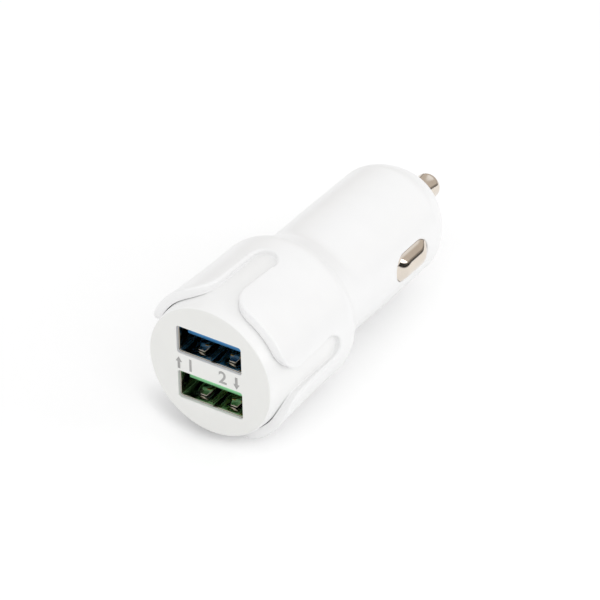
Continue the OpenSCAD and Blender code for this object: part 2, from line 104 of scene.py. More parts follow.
# Windows of the side contacts
WINDOW_L = size_of("side_contact_right", 1, 1) - size_of("side_contact_right", 0, 1) - 1.2
WINDOW_Y = (size_of("side_contact_right", 1, 1) + size_of("side_contact_right", 0, 1)) / 2
WINDOW_W = 5.4
DRAFT_Y = WINDOW_Y - WINDOW_L / 2 - 0.6

# Ports
PORT_Z = 4.4
PORT_W = 12.5
PORT_H = 5.12
FACE_WALL = 0.6
PORT_WINDOW_W = PORT_W + 0.2
PORT_WINDOW_H = PORT_H + 0.2
WINDOW_ROUND = 0.05
SHEET_T = 0.3
PORT_ROOM_R = math.hypot(PORT_W / 2 + SHEET_T, PORT_Z + PORT_H / 2 + SHEET_T) + 0.1

# Camera, as fitted to the photograph
CAMERA_AT = (0.35059, -0.51155, 0.42067)
CAMERA_AZIMUTH = 34.60
CAMERA_ELEVATION = 34.33
CAMERA_ROLL = 1.41
CAMERA_LENS = 270.0


def grid_quads(rows, cols, first=0, closed=False):
    """Corner numbers of the quads of a grid of points, row by row; closed joins the last column to the first."""
    number = first + np.arange(rows * cols).reshape(rows, cols)
    if closed:
        number = np.concatenate([number, number[:, :1]], axis=1)
    quads = np.stack([number[:-1, :-1], number[:-1, 1:], number[1:, 1:], number[1:, :-1]], axis=-1)
    return quads.reshape(-1, 4)


class Surface:
    """Grids of points collected into one mesh."""

    def __init__(self):
        self.points = []
        self.quads = []
        self.count = 0

    def add(self, points, closed=False, keep=None):
        """Adds a grid of rows and columns of points; keep says which of its quads stay."""
        rows, cols = points.shape[:2]
        quads = grid_quads(rows, cols, self.count, closed)
        if keep is not None:
            quads = quads[keep.reshape(-1)]
        self.points.append(points.reshape(-1, 3))
        self.quads.append(quads)
        self.count += rows * cols

    def put(self, name, slot, body, *replaced):
        """Makes the object: points meeting within a few microns become one, and faces turn outwards."""
        points = np.concatenate(self.points)
        quads = np.concatenate(self.quads)
        return put_mesh(name, points, quads.tolist(), slot, body, *replaced)


def show(name, mesh, finish, body, *replaced):
    """Object for a finished mesh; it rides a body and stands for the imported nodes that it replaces."""
    mesh.materials.clear()
    mesh.materials.append(FINISHES[finish])
    obj = bpy.data.objects.new(name, mesh)
    bpy.context.scene.collection.objects.link(obj)
    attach(obj, body)
    if replaced:
        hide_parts(*replaced)
    return obj


def put_mesh(name, points, faces, slot, body, *replaced, smooth=True):
    """New piece from points in millimetres, closed up, smooth and in the finish of its slot."""
    mesh = bpy.data.meshes.new(name)
    place = (np.asarray(points) + np.array([0, FACE_Y, 0])) * MM
    mesh.from_pydata(place.tolist(), [], faces)
    work = bmesh.new()
    work.from_mesh(mesh)
    bmesh.ops.remove_doubles(work, verts=work.verts, dist=0.002 * MM)
    bmesh.ops.dissolve_degenerate(work, edges=work.edges, dist=0.0005 * MM)
    bmesh.ops.recalc_face_normals(work, faces=work.faces)
    work.to_mesh(mesh)
    work.free()
    mesh.polygons.foreach_set("use_smooth", [smooth] * len(mesh.polygons))
    return show(name, mesh, slot, body, *replaced)


def around(radius, y, angle):
    """Points at a radius, a distance from the face and an angle from the top round the plug's axis."""
    radius, y, angle = np.broadcast_arrays(radius, y, angle)
    return np.stack([radius * np.sin(angle), y, radius * np.cos(angle)], axis=-1)


def bend(start, guide, end, count):
    """Curve from start to end that leaves towards the guide point and arrives from it."""
    t = np.linspace(0, 1, count)[:, None]
    return (1 - t) ** 2 * np.array(start) + 2 * t * (1 - t) * np.array(guide) + t ** 2 * np.array(end)


def sweep_curve(start, first, second, end, count):
    """The same with two guide points."""
    t = np.linspace(0, 1, count)[:, None]
    return ((1 - t) ** 3 * np.array(start) + 3 * t * (1 - t) ** 2 * np.array(first)
            + 3 * t ** 2 * (1 - t) * np.array(second) + t ** 3 * np.array(end))


def straight(start, end, count):
    t = np.linspace(0, 1, count)[:, None]
    return (1 - t) * np.array(start) + t * np.array(end)


# The petals' head: angles of the columns round the plug, from a slot's middle to a petal's middle
RIM_COUNTS = (10, 18, 12, 12)
COLUMN_KNOTS = np.radians([45, 31, 22, 10.5, 0])


def head_radius(y):
    """Outside of the petals: widens forwards with the square of the distance from the shoulder."""
    front = LIP_Y + LIP_ROUND
    t = np.clip((FLARE_END_Y - y) / (FLARE_END_Y - front), 0, 1.1)
    return HEAD_R + (LIP_R - HEAD_R) * t ** 2


def bore_radius(y):
    """Inside of the petals: rests on the core behind its taper and stands a little off it at the front."""
    return PETAL_BORE_R + FRONT_GAP * np.clip((INSERT_TAPER_L - y) / 3, 0, 1)


def petal_rim(radius_at):
    """A petal's edge as angle and distance from the face: straight front, a quarter ellipse round the
    corner, the slot's straight side, then a quarter circle round its end. A point's angle is the
    arcsine of its sideways place over the surface's radius there."""
    front, corner, side, end = RIM_COUNTS
    a = np.radians(np.linspace(90, 0, corner + 1)[1:])
    b = np.radians(np.linspace(0, 90, end + 1)[1:])
    x = np.concatenate([SLOT_W / 2 + CORNER_W * (1 - np.cos(a)),
                        np.full(side, SLOT_W / 2),
                        SLOT_W / 2 * np.cos(b)])
    y = np.concatenate([LIP_Y + CORNER_L * (1 - np.sin(a)),
                        np.linspace(LIP_Y + CORNER_L, SLOT_END_Y - SLOT_W / 2, side + 1)[1:],
                        SLOT_END_Y - SLOT_W / 2 * (1 - np.sin(b))])
    corner_angle = np.arcsin((SLOT_W / 2 + CORNER_W) / radius_at(LIP_Y))
    angle = np.concatenate([np.linspace(np.radians(45), corner_angle, front + 1),
                            np.arcsin(x / radius_at(y))])
    angle[-1] = 0
    return angle, np.concatenate([np.full(front + 1, LIP_Y), y])


def column_angles():
    """Angles at which the turned part's columns meet the petals' sheet, petal middle first."""
    pieces = [np.linspace(COLUMN_KNOTS[k], COLUMN_KNOTS[k + 1], n + 1)[1:] for k, n in enumerate(RIM_COUNTS)]
    return np.concatenate([COLUMN_KNOTS[:1], *pieces])


def rounded_rim(angle, y, radius_at, rounding, side, steps, hollow=False):
    """Rings of a rounded edge: ring k lies inward of the rim by f(1 - cos a) and f(1 - sin a) below the
    surface, with f the edge's rounding there and side +1 for an outer and -1 for an inner surface. A
    hollow edge goes outward instead and ends flat on the surface, like a fillet."""
    arc_place = angle * radius_at(y)
    slope_s, slope_y = np.gradient(arc_place), np.gradient(y)
    length = np.hypot(slope_s, slope_y)
    inward_s, inward_y = slope_y / length, -slope_s / length
    inward_s[[0, -1]] = 0
    inward_y[[0, -1]] = 1
    a = np.radians(np.linspace(0, 90, steps))[:, None]
    reach = rounding * (1 - np.cos(a)) * (-1 if hollow else 1)
    drop = rounding * (1 - np.sin(a))
    ring_y = y + inward_y * reach
    ring_angle = angle + inward_s * reach / radius_at(ring_y)
    return around(radius_at(ring_y) - side * drop, ring_y, ring_angle), ring_angle[-1], ring_y[-1]


def petal_sheet(radius_at, end_y, rounding, side, rows, hollow=False):
    """Half a petal's surface: its rounded edge, then rows that run on a ruled path to the head's rear."""
    angle, y = petal_rim(radius_at)
    rim, last_angle, last_y = rounded_rim(angle, y, radius_at, rounding, side, 7, hollow)
    w = np.linspace(0, 1, rows)[:, None]
    sheet_y = (1 - w) * last_y + w * end_y
    sheet_angle = (1 - w) * last_angle + w * column_angles()
    return rim, around(radius_at(sheet_y), sheet_y, sheet_angle)


def turned_about(points, quarter, mirrored):
    """A copy of a grid of points, mirrored across its slot and turned by quarters about the axis."""
    copy = points.copy()
    if mirrored:
        copy[..., 0] = -copy[..., 0]
    a = quarter * math.pi / 2
    x = copy[..., 0] * math.cos(a) + copy[..., 2] * math.sin(a)
    z = copy[..., 2] * math.cos(a) - copy[..., 0] * math.sin(a)
    return np.stack([x, copy[..., 1], z], axis=-1)


def all_columns():
    """Angles of every column round the plug, in order."""
    half = column_angles()[::-1]
    sector = np.concatenate([-half[:0:-1], half[:-1]])
    return np.concatenate([sector + quarter * math.pi / 2 for quarter in range(4)])


def barrel_radius(y):
    """Outside of the barrel: straight to the start of its draft, then slightly tapering."""
    return np.interp(y, [DRAFT_Y, NOSE_Y], [BARREL_R, NOSE_R])


def shell_profile():
    """Outside behind the petals: rounded shoulder, cone, hollow bend to the barrel, barrel and nose."""
    drop = HEAD_R - BARREL_R
    shoulder = bend([HEAD_R, SHOULDER_Y], [HEAD_R - 0.02 * drop, SHOULDER_Y + 0.2 * SHOULDER_L],
                    [HEAD_R - 0.38 * drop, SHOULDER_Y + 0.34 * SHOULDER_L], 14)
    foot = bend([BARREL_R + 0.2 * drop, BARREL_Y - 0.3 * SHOULDER_L],
                [BARREL_R + 0.02 * drop, BARREL_Y - 0.17 * SHOULDER_L], [BARREL_R, BARREL_Y], 10)
    front = [[HEAD_R, FLARE_END_Y]]
    cone = straight(shoulder[-1], foot[0], 5)[1:-1]
    return np.concatenate([front, shoulder, cone, foot])


def nose_profile():
    """Dome from the barrel's end to the flat round the tip's hole."""
    dome = sweep_curve([NOSE_R, NOSE_Y], [NOSE_R - 0.05, NOSE_Y + 0.2 * NOSE_L],
                       [0.76 * NOSE_R, NOSE_Y + 0.68 * NOSE_L], [TIP_HOLE_R + 0.3, NOSE_END_Y], 36)
    edge = bend([TIP_HOLE_R + HOLE_ROUND, NOSE_END_Y], [TIP_HOLE_R, NOSE_END_Y],
                [TIP_HOLE_R, NOSE_END_Y - HOLE_ROUND], 5)
    return np.concatenate([dome, edge])


WINDOW_ROWS = np.linspace(WINDOW_Y - WINDOW_L / 2 - 1.5, WINDOW_Y + WINDOW_L / 2 + 1.5, 25)
WINDOW_REACH = COLUMN_KNOTS[2]


def barrel_rows():
    """Distances of the barrel's rows, with the windows' rows among them."""
    front = np.linspace(BARREL_Y, WINDOW_ROWS[0], 8)[1:-1]
    rear = np.linspace(WINDOW_ROWS[-1], NOSE_Y, 4)[1:-1]
    return front, rear


def window_ring(centre):
    """Border of the patch round a window: columns and rows of the barrel, once round."""
    columns = centre + np.concatenate([-column_angles(), column_angles()[::-1]])
    columns = np.unique(np.round(columns[np.abs(columns - centre) <= WINDOW_REACH + 1e-6], 9))
    rows = WINDOW_ROWS
    angle = np.concatenate([columns, np.full(len(rows) - 2, columns[-1]), columns[::-1],
                            np.full(len(rows) - 2, columns[0])])
    y = np.concatenate([np.full(len(columns), rows[0]), rows[1:-1], np.full(len(columns), rows[-1]),
                        rows[-2:0:-1]])
    return angle, y


def window_outline(angle, y, centre):
    """Where the line from a window's middle to a border point crosses the window's long round-ended
    outline, with the outline's outward direction there."""
    across = BARREL_R * (angle - centre)
    along = y - WINDOW_Y
    length = np.hypot(across, along)
    d = np.stack([across / length, along / length])
    half, reach = WINDOW_W / 2, (WINDOW_L - WINDOW_W) / 2
    side_y = half * d[1] / np.maximum(np.abs(d[0]), 1e-9)
    on_side = np.abs(side_y) <= reach
    c = np.sign(d[1]) * reach
    along_c = d[1] * c
    t = along_c + np.sqrt(np.maximum(half ** 2 - c ** 2 + along_c ** 2, 0))
    out_across = np.where(on_side, np.sign(d[0]) * half, t * d[0])
    out_along = np.where(on_side, side_y, t * d[1])
    n_across = np.where(on_side, np.sign(d[0]), out_across / half)
    n_along = np.where(on_side, 0, (out_along - c) / half)
    return out_across, out_along, n_across, n_along


def window_patch(centre, radius_at, rounding, side, rows):
    """Patch of the barrel round a window: rounded edge, then straight rows to the border."""
    angle, y = window_ring(centre)
    across, along, n_across, n_along = window_outline(angle, y, centre)
    a = np.radians(np.linspace(0, 90, 5))[:, None]
    reach = rounding * (1 - np.cos(a))
    drop = rounding * (1 - np.sin(a))
    edge_y = WINDOW_Y + along + n_along * reach
    edge_angle = centre + np.arcsin((across + n_across * reach) / radius_at(edge_y))
    rim = around(radius_at(edge_y) - side * drop, edge_y, edge_angle)
    w = np.linspace(0, 1, rows)[:, None]
    sheet_y = (1 - w) * edge_y[-1] + w * y
    sheet_angle = (1 - w) * edge_angle[-1] + w * angle
    return rim, around(radius_at(sheet_y), sheet_y, sheet_angle)


def wall_between(outer_ring, inner_ring):
    """Wall from an outer to an inner edge, with rows close to both so that it shades flat."""
    w = np.array([0, 0.06, 0.94, 1])[:, None, None]
    return (1 - w) * outer_ring + w * inner_ring


def body_shell():
    """The moulded shell: petals, shoulder, barrel with its windows, and nose, inside and outside."""
    shell = Surface()
    knots = np.cumsum((0,) + RIM_COUNTS)
    soft = np.interp(np.arange(knots[-1] + 1), knots, [0.3, 0.3, 0.5, 0.5, 0.3])
    rim_out, sheet_out = petal_sheet(head_radius, FLARE_END_Y, soft, 1, 20)
    foot = np.interp(np.arange(knots[-1] + 1), knots, [0.02, 0.02, FOOT_ROUND, FOOT_ROUND, FOOT_ROUND])
    rim_in, sheet_in = petal_sheet(bore_radius, INSERT_END_Y + 0.1, foot, -1, 14, hollow=True)
    wall = wall_between(rim_out[0], rim_in[0])
    for quarter in range(4):
        for mirrored in (False, True):
            for grid in (rim_out, sheet_out, rim_in, sheet_in, wall):
                shell.add(turned_about(grid, quarter, mirrored))

    columns = all_columns()
    front_rows, rear_rows = barrel_rows()
    before = shell_profile()
    outside = np.concatenate([
        before,
        np.stack([barrel_radius(front_rows), front_rows], axis=1),
        np.stack([barrel_radius(WINDOW_ROWS), WINDOW_ROWS], axis=1),
        np.stack([barrel_radius(rear_rows), rear_rows], axis=1),
        nose_profile(),
    ])
    inside = np.concatenate([
        [[PETAL_BORE_R, INSERT_END_Y + 0.1], [STEP_R, INSERT_END_Y + 0.1], [STEP_R, SHOULDER_Y + 1]],
        straight([STEP_R, SHOULDER_Y + 1], [BARREL_IN_R, BARREL_Y - 2.4], 3)[1:],
        np.stack([np.full(len(WINDOW_ROWS), BARREL_IN_R), WINDOW_ROWS], axis=1),
        bend([BARREL_IN_R, NOSE_Y - 0.7], [BARREL_IN_R - 1, NOSE_Y + 0.39 * NOSE_L],
             [0.4 * BARREL_R, NOSE_IN_Y], 10),
        [[TIP_HOLE_R, NOSE_IN_Y], [TIP_HOLE_R, NOSE_END_Y - HOLE_ROUND]],
    ])
    for profile in (outside, inside):
        radius, y = profile[:, :1], profile[:, 1:]
        grid = around(radius, y, columns[None, :])
        offset = (columns + math.pi / 4) % math.pi - 3 * math.pi / 4
        middle = offset + np.diff(columns, append=columns[0] + 2 * math.pi) / 2
        in_columns = np.abs(middle) < WINDOW_REACH
        middle_y = (y[1:, 0] + y[:-1, 0]) / 2
        in_rows = (middle_y > WINDOW_ROWS[0]) & (middle_y < WINDOW_ROWS[-1])
        shell.add(grid, closed=True, keep=~(in_rows[:, None] & in_columns[None, :]))

    inner_radius = lambda y: np.full_like(y, BARREL_IN_R)
    for centre in (math.pi / 2, 3 * math.pi / 2):
        rim_out, patch_out = window_patch(centre, barrel_radius, 0.2, 1, 9)
        rim_in, patch_in = window_patch(centre, inner_radius, 0.05, -1, 3)
        for grid in (rim_out, patch_out, rim_in, patch_in, wall_between(rim_out[0], rim_in[0])):
            shell.add(grid, closed=True)
    for x in (-RAIL_X, RAIL_X):
        for z in (-RAIL_Z, RAIL_Z):
            add_bar(shell, (x, z), (RAIL_W, RAIL_H), RAIL_Y, RAIL_Y + RAIL_L, 0.1)
    return shell.put("shell", "shell_plastic", "housing", "body_shell")


def round_corner_box_hit(d, half_w, half_h, corner):
    """Where rays from a round-cornered rectangle's middle leave it, with its outward direction."""
    across, up = np.abs(d[0]), np.abs(d[1])
    t_side = half_w / np.maximum(across, 1e-9)
    t_top = half_h / np.maximum(up, 1e-9)
    on_side = t_side * up <= half_h - corner
    on_top = t_top * across <= half_w - corner
    c = np.array([half_w - corner, half_h - corner])
    along_c = across * c[0] + up * c[1]
    t_corner = along_c + np.sqrt(np.maximum(corner ** 2 - c @ c + along_c ** 2, 0))
    t = np.where(on_side, t_side, np.where(on_top, t_top, t_corner))
    n = np.stack([(t * across - c[0]) / corner, (t * up - c[1]) / corner])
    n[0] = np.where(on_side, 1, np.where(on_top, 0, n[0]))
    n[1] = np.where(on_side, 0, np.where(on_top, 1, n[1]))
    return t * d, n * np.sign(d + 1e-12)


def port_rays():
    """Directions from a port's middle: evenly spaced along the port's outline, and the two in which the
    face's half ends at its widest place."""
    half_w, half_h = PORT_WINDOW_W / 2, PORT_WINDOW_H / 2
    side = np.linspace(-1, 1, 13)
    top = np.linspace(-1, 1, 33)
    corner = np.radians(np.linspace(0, 90, 7))
    points = [(half_w * np.ones(13), side * (half_h - 0.5)), (top * (half_w - 0.5), half_h * np.ones(33))]
    angles = np.concatenate([np.arctan2(z, x) for x, z in points])
    corner_angles = np.arctan2(half_h - 0.5 + 0.5 * np.sin(corner), half_w - 0.5 + 0.5 * np.cos(corner))
    quarter = np.concatenate([angles[angles > 0], corner_angles, [0, math.pi / 2]])
    quarter = quarter[(quarter >= 0) & (quarter <= math.pi / 2 + 1e-9)]
    every = np.concatenate([quarter, math.pi - quarter, -quarter, quarter - math.pi])
    widest = math.atan2(-PORT_Z, CORE_R - FACE_ROUND)
    every = np.concatenate([every, [widest, -math.pi - widest]])
    return np.unique(np.round(every % (2 * math.pi), 6))


def face_half(flat_r, edge_r, y, rounding, side, rows):
    """Upper half of the face's plate: rounded window edge, then rows to the half disc's border. The border
    lies where rays from the port's middle meet a circle and the level line between the ports, scaled."""
    theta = port_rays()
    d = np.stack([np.cos(theta), np.sin(theta)])
    outline, normal = round_corner_box_hit(d, PORT_WINDOW_W / 2, PORT_WINDOW_H / 2, 0.5)
    up = d[1] * PORT_Z
    t_circle = -up + np.sqrt(up ** 2 + flat_r ** 2 - PORT_Z ** 2)
    t_line = np.where(d[1] < 0, PORT_Z / np.maximum(-d[1], 1e-9), 1e9)
    t = np.minimum(t_circle, t_line)
    border_x, border_z = t * d[0] * edge_r / flat_r, (PORT_Z + t * d[1]) * edge_r / flat_r
    a = np.radians(np.linspace(0, 90, 5))[:, None]
    reach = rounding * (1 - np.cos(a))
    depth = rounding * (1 - np.sin(a))
    x = outline[0] + normal[0] * reach
    z = PORT_Z + outline[1] + normal[1] * reach
    rim = np.stack([x, y + side * depth + 0 * x, z], axis=-1)
    w = np.linspace(0, 1, rows)[:, None]
    sheet_x = (1 - w) * x[-1] + w * border_x
    sheet_z = (1 - w) * z[-1] + w * border_z
    sheet = np.stack([sheet_x, y + 0 * sheet_x, sheet_z], axis=-1)
    on_circle = t_circle <= t_line + 1e-6
    return rim, sheet, np.arctan2(border_x, border_z)[on_circle]


def face_insert():
    """Port face and the sleeve behind it: a plate with two windows, and a turned wall."""
    insert = Surface()
    flat_r = CORE_R - FACE_ROUND
    rim, sheet, angles = face_half(flat_r, flat_r, 0, WINDOW_ROUND, 1, 8)
    back_rim, back, _ = face_half(flat_r, PORT_ROOM_R, FACE_WALL, WINDOW_ROUND, -1, 4)
    wall = wall_between(rim[0], back_rim[0])
    flip = np.array([1, 1, -1])
    for grid in (rim, sheet, back_rim, back, wall):
        insert.add(grid, closed=True)
        insert.add(grid * flip, closed=True)
    edge = np.radians(np.linspace(-90, 0, 9))
    rounding = np.stack([flat_r + FACE_ROUND * np.cos(edge), FACE_ROUND * (1 + np.sin(edge))], axis=1)
    side = np.concatenate([
        rounding,
        bend([CORE_R, FACE_ROUND], [CORE_R + 0.3, 2.4], [INSERT_R, INSERT_TAPER_L], 10)[1:],
        straight([INSERT_R, INSERT_TAPER_L], [INSERT_R, INSERT_END_Y], 8)[1:],
        [[INSERT_R - 1.5, INSERT_END_Y], [INSERT_R - 1.5, 14.55], [PORT_ROOM_R, 14.55],
         [PORT_ROOM_R, FACE_WALL]],
    ])
    turns = np.unique(np.round(np.concatenate([angles, math.pi - angles]) % (2 * math.pi), 6))
    insert.add(around(side[:, :1], side[:, 1:], turns[None, :]), closed=True)
    return insert.put("port_face", "insert_plastic", "housing", "face_insert")


def ring_of_rect(half_w, half_h, corner, corner_steps=6, knots=()):
    """Round-cornered rectangle as across and up places: each corner an arc, each side straight with the
    given knots as shares or fixed places along the top and bottom."""
    corner = min(corner, half_w, half_h)
    a = np.radians(np.linspace(0, 90, corner_steps + 1))
    x = half_w - corner + corner * np.cos(a)
    z = half_h - corner + corner * np.sin(a)
    inner = np.array(sorted(knots, reverse=True))
    top_x = np.concatenate([x, inner, -x[::-1]])
    top_z = np.concatenate([z, np.full(len(inner), half_h), z[::-1]])
    return np.concatenate([top_x, -top_x]), np.concatenate([top_z, -top_z])


def bar_rings(middle, half_w, half_h, corner, y, inset):
    """Rings of a bar along the axis: at each y the outline is drawn in by the inset there."""
    rings = []
    for place, draw_in in zip(y, inset):
        w, h = max(half_w - draw_in, 0), max(half_h - draw_in, 0)
        x, z = ring_of_rect(w, h, min(corner, w, h))
        rings.append(np.stack([middle[0] + x, np.full_like(x, place), middle[1] + z], axis=-1))
    return np.array(rings)


def add_bar(surface, middle, size, y0, y1, corner, front=None, rear=None):
    """A bar with round edges along its length and round arrises at both ends; its ends close on the middle."""
    front = corner if front is None else front
    rear = corner if rear is None else rear
    a = np.radians(np.linspace(0, 90, 5))
    y = np.concatenate([[y0], y0 + front * (1 - np.cos(a)), y1 - rear * (1 - np.cos(a[::-1])), [y1]])
    full = min(size) / 2
    inset = np.concatenate([[full], front * (1 - np.sin(a)), rear * (1 - np.sin(a[::-1])), [full]])
    surface.add(bar_rings(middle, size[0] / 2, size[1] / 2, corner, y, inset), closed=True)


PORT_Y = FACE_WALL + 0.05
PORT_L = 13.9
SPRING_Y = PORT_Y + 0.4
FINGER_X = 3.0
FINGER_REACH = 1.4
FINGER_FROM = SPRING_Y + 0.9
FINGER_TO = SPRING_Y + 8.2


def port_steel(name, middle_z, replaced):
    """Drawn steel shell of a port: a tube of sheet whose front edge is rounded, with a seam in its bottom
    and four sprung fingers that curve inwards from their windows."""
    steel = Surface()
    knots = [-FINGER_X - FINGER_REACH, -FINGER_X + FINGER_REACH, -0.06, 0.06,
             FINGER_X - FINGER_REACH, FINGER_X + FINGER_REACH]
    end_y = PORT_Y + PORT_L
    a = np.radians(np.linspace(180, 0, 7))
    radius = SHEET_T / 2
    lap = np.concatenate([
        [[radius, end_y], [radius, FINGER_TO], [radius, FINGER_FROM]],
        np.stack([-radius * np.cos(a), PORT_Y + radius * (1 - np.sin(a))], axis=1),
        [[-radius, FINGER_FROM], [-radius, FINGER_TO], [-radius, end_y], [radius, end_y]],
    ])
    rings = []
    for offset, y in lap:
        half_w, half_h = PORT_W / 2 + radius + offset, PORT_H / 2 + radius + offset
        x, z = ring_of_rect(half_w, half_h, 0.45 + offset, knots=knots)
        rings.append(np.stack([x, np.full_like(x, y), middle_z + z], axis=-1))
    rings = np.array(rings)
    centre_x = (rings[0, :, 0] + np.roll(rings[0, :, 0], -1)) / 2
    flat = np.abs(np.abs(rings[0, :, 2] - middle_z) - PORT_H / 2 - SHEET_T) < 1e-6
    flat &= np.roll(flat, -1)
    over_finger = flat & (np.abs(np.abs(centre_x) - FINGER_X) < FINGER_REACH - 0.01)
    seam = flat & (np.abs(centre_x) < 0.05) & (rings[0, :, 2] < middle_z)
    rows = len(lap) - 1
    keep = np.ones((rows, rings.shape[1]), bool)
    window_rows = (lap[:-1, 1] + lap[1:, 1]) / 2
    window_rows = (window_rows > FINGER_FROM) & (window_rows < FINGER_TO)
    keep[window_rows[:, None] & over_finger[None, :]] = False
    keep[:, seam] = False
    steel.add(rings, closed=True, keep=keep)
    seam_column = int(np.argmax(seam))
    for column in (seam_column, (seam_column + 1) % rings.shape[1]):
        edge = rings[:, column]
        steel.add(np.stack([edge[:len(edge) // 2], edge[:len(edge) // 2 - 1:-1][:len(edge) // 2]]))
    for side in (-1, 1):
        for wall in (-1, 1):
            middle_x = side * FINGER_X
            x = middle_x + np.array([-1, 1, 1, -1]) * FINGER_REACH
            y = np.array([FINGER_FROM, FINGER_FROM, FINGER_TO, FINGER_TO])
            outer = np.stack([x, y, np.full(4, middle_z + wall * (PORT_H / 2 + SHEET_T))], axis=-1)
            inner = np.stack([x, y, np.full(4, middle_z + wall * PORT_H / 2)], axis=-1)
            steel.add(np.stack([outer, inner]), closed=True)
            add_finger(steel, middle_x, middle_z, wall, 0.7 if wall < 0 else 0.3)
        leg_x = side * (PORT_W + SHEET_T) / 2
        add_bar(steel, (leg_x, middle_z), (SHEET_T, 1.6), end_y - 0.5, end_y + 2.1, 0.05)
    return steel.put(name, "port_steel", "housing", replaced)


def add_finger(surface, x, z, wall, rise):
    """A sprung finger: a strip of sheet along a smooth path that rises to its crest and dips again at the
    narrow front end; its width grows from the front end to the crest."""
    y = SPRING_Y + np.concatenate([[1.2, 1.21], np.linspace(1.25, 2.4, 12), np.linspace(2.6, 8.2, 20), [8.79, 8.8]])
    s = np.clip((y - SPRING_Y - 2.4) / 5.8, 0, 1)
    front = np.clip((2.4 - (y - SPRING_Y)) / 1.2, 0, 1)
    lift = rise * (1 - s * s * (3 - 2 * s)) * (1 - 0.85 * front)
    width = np.interp(y, SPRING_Y + np.array([1.2, 1.3, 2.4]), [1.2, 1.3, 2.1])
    middle = z + wall * (PORT_H / 2 + SHEET_T / 2 - lift)
    rings = []
    for k in range(len(y)):
        shrink = 1.0 if 0 < k < len(y) - 1 else 0.02
        dx, dz = ring_of_rect(width[k] / 2 * shrink, SHEET_T / 2 * shrink, 0.06 * shrink, 3)
        rings.append(np.stack([x + dx, np.full_like(dx, y[k]), middle[k] + dz], axis=-1))
    rings = np.array(rings)
    ends = [np.broadcast_to(r.mean(axis=0), r.shape)[None] for r in (rings[0], rings[-1])]
    surface.add(np.concatenate([ends[0], rings, ends[1]]), closed=True)


TONGUE_W = 11.1
TONGUE_T = 1.8
TONGUE_GAP = 0.66
TONGUE_SETBACK = 1.3
PIN_X = (-3.5, -1.0, 1.0, 3.5)


def port_tongue(name, middle_z, slot, replaced):
    """Tongue with chamfered front arrises, on the block that closes the port."""
    tongue = Surface()
    end_y = PORT_Y + PORT_L - 0.05
    add_bar(tongue, (0, middle_z), (PORT_W - 0.1, PORT_H - 0.2), end_y - 3.55, end_y, 0.12, 0.12, 0.05)
    tongue_z = middle_z + PORT_H / 2 - TONGUE_GAP - TONGUE_T / 2
    front = PORT_Y + TONGUE_SETBACK
    half_w, half_t = TONGUE_W / 2, TONGUE_T / 2
    low = np.array([half_t, half_t - 0.62, half_t - 0.45, half_t - 0.1, 0, 0]) 
    y = np.array([front, front, front + 0.12, front + 0.55, front + 0.75, end_y - 1])
    side = np.array([half_w, 0.2, 0.1, 0, 0, 0])
    rings = []
    for k in range(len(y)):
        top = half_t if k else 0
        bottom = -half_t + low[k]
        middle, half = (top + bottom) / 2, max((top - bottom) / 2, 0)
        x, z = ring_of_rect(max(half_w - side[k], 0), half, min(0.12, half))
        rings.append(np.stack([x, np.full_like(x, y[k]), tongue_z + middle + z], axis=-1))
    tongue.add(np.array(rings + [rings[-1] * [0, 1, 0] + [0, 0, tongue_z]]), closed=True)
    return tongue.put(name, slot, "housing", replaced)


def port_pins(name, middle_z, replaced):
    """Four gilt strips under a tongue, with rounded ends."""
    pins = Surface()
    z = middle_z + PORT_H / 2 - TONGUE_GAP - TONGUE_T - 0.12
    for x in PIN_X:
        add_bar(pins, (x, z), (1.0, 0.2), PORT_Y + TONGUE_SETBACK + 1, PORT_Y + PORT_L + 2.1, 0.06, 0.1, 0.08)
    return pins.put(name, "contact_gold", "housing", replaced)


SIDE_FIT_L = WINDOW_L - 0.2
SIDE_FIT_W = WINDOW_W - 0.2
SIDE_CREST_X = BARREL_R + 1.0
SIDE_RIM_W = WINDOW_W + 1.1
SIDE_RIM_L = WINDOW_L + 1.2
SIDE_RIM_X = math.sqrt(BARREL_IN_R ** 2 - (SIDE_RIM_W / 2) ** 2) - 0.1
SIDE_SHEET = 0.4
SIDE_EDGE_X = math.sqrt(BARREL_R ** 2 - (WINDOW_W / 2) ** 2) - 0.15


def pillow_height(y, z, crest_x):
    """Height of a side contact: full along its middle, falling off at both ends like a smooth step and to
    both sides like a circle's arc."""
    half_l, half_w = SIDE_FIT_L / 2, SIDE_FIT_W / 2
    end = np.clip((half_l - np.abs(y - WINDOW_Y)) / 3.0, 0, 1)
    rise = 1 - (1 - end) ** 2.4
    drop = SIDE_CREST_X - SIDE_EDGE_X
    arc_r = (half_w ** 2 + drop ** 2) / (2 * drop)
    side = np.sqrt(arc_r ** 2 - np.minimum(np.abs(z), half_w) ** 2) - (arc_r - drop)
    return SIDE_EDGE_X + side * rise + (crest_x - SIDE_CREST_X)


def contact_ring(share, inset):
    """Ring of a round-ended long outline drawn in towards its ridge: share 1 is the outline, 0 the ridge."""
    half = SIDE_FIT_W / 2 - inset
    reach = (SIDE_FIT_L - SIDE_FIT_W) / 2
    a = np.radians(np.linspace(-90, 90, 25))
    along = np.linspace(-1, 1, 17)[1:-1] * reach
    y = np.concatenate([reach + share * half * np.cos(a), along[::-1], -reach - share * half * np.cos(a), along])
    z = np.concatenate([share * half * np.sin(a), np.full(15, share * half), share * half * np.sin(-a),
                        np.full(15, -share * half)])
    return WINDOW_Y + y, z


